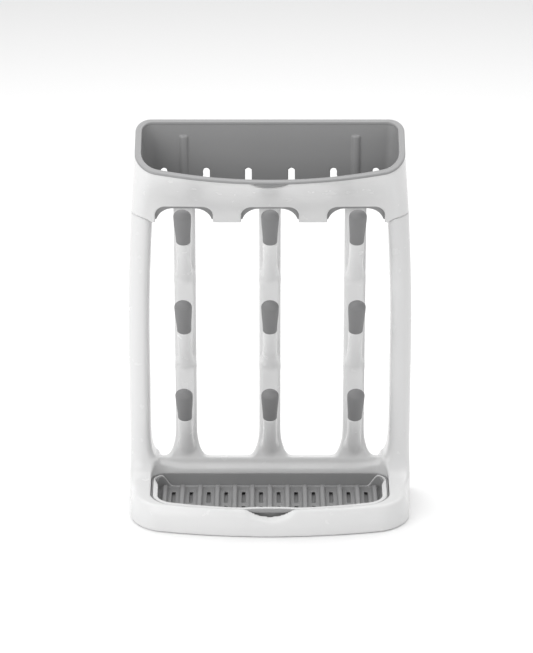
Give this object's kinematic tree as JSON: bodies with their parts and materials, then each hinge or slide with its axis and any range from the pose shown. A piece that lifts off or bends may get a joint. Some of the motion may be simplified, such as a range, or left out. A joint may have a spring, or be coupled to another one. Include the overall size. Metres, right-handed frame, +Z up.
{
  "type": "bottle drying rack",
  "caption": "Upright drying rack for baby bottles: a white stand with tilted pegs, a ribbed drip tray at its foot and a sloping parts bin on top.",
  "frame": {"origin": "on the surface the rack stands on, under the middle of its outline", "axes": "+Z up, +X to the right seen from the front, the front faces -Y"},
  "size_m": [0.241, 0.109, 0.3326],
  "materials": {
    "white_plastic": "satin white moulded plastic",
    "grey_plastic": "satin mid-grey moulded plastic",
    "soft_grey_rubber": "matt soft-touch grey",
    "foot_rubber": "matt dark grey",
    "screw_steel": "zinc-plated steel"
  },
  "bodies": {
    "stand": {"base_screw_centre": "screw_steel", "base_screw_left": "screw_steel", "base_screw_left_post": "screw_steel", "base_screw_right": "screw_steel", "base_screw_right_post": "screw_steel", "base_shell": "white_plastic", "foot_front_left": "foot_rubber", "foot_front_right": "foot_rubber", "foot_rear_left": "foot_rubber", "foot_rear_right": "foot_rubber", "peg_column_centre": "white_plastic", "peg_column_left": "white_plastic", "peg_column_right": "white_plastic", "peg_tip_centre_low": "soft_grey_rubber", "peg_tip_centre_middle": "soft_grey_rubber", "peg_tip_centre_top": "soft_grey_rubber", "peg_tip_left_low": "soft_grey_rubber", "peg_tip_left_middle": "soft_grey_rubber", "peg_tip_left_top": "soft_grey_rubber", "peg_tip_right_low": "soft_grey_rubber", "peg_tip_right_middle": "soft_grey_rubber", "peg_tip_right_top": "soft_grey_rubber", "rack_frame": "white_plastic", "shell_screw_centre": "screw_steel", "shell_screw_left": "screw_steel", "shell_screw_right": "screw_steel", "top_shell": "white_plastic"},
    "bin_liner": {"bin_liner": "grey_plastic"},
    "drip_tray": {"drip_tray": "grey_plastic"},
    "drain_rack": {"drain_frame": "white_plastic", "drain_grate": "grey_plastic"}
  },
  "joints": [
    {"name": "bin_lift", "type": "slide", "parent": "stand", "child": "bin_liner", "axis": [0, 0, 1], "range_m": [0, 0.07]},
    {"name": "tray_lift", "type": "slide", "parent": "stand", "child": "drip_tray", "axis": [0, 0, 1], "range_m": [0, 0.018]},
    {"name": "rack_lift", "type": "slide", "parent": "drip_tray", "child": "drain_rack", "axis": [0, 0, 1], "range_m": [0, 0.0145]}
  ]
}
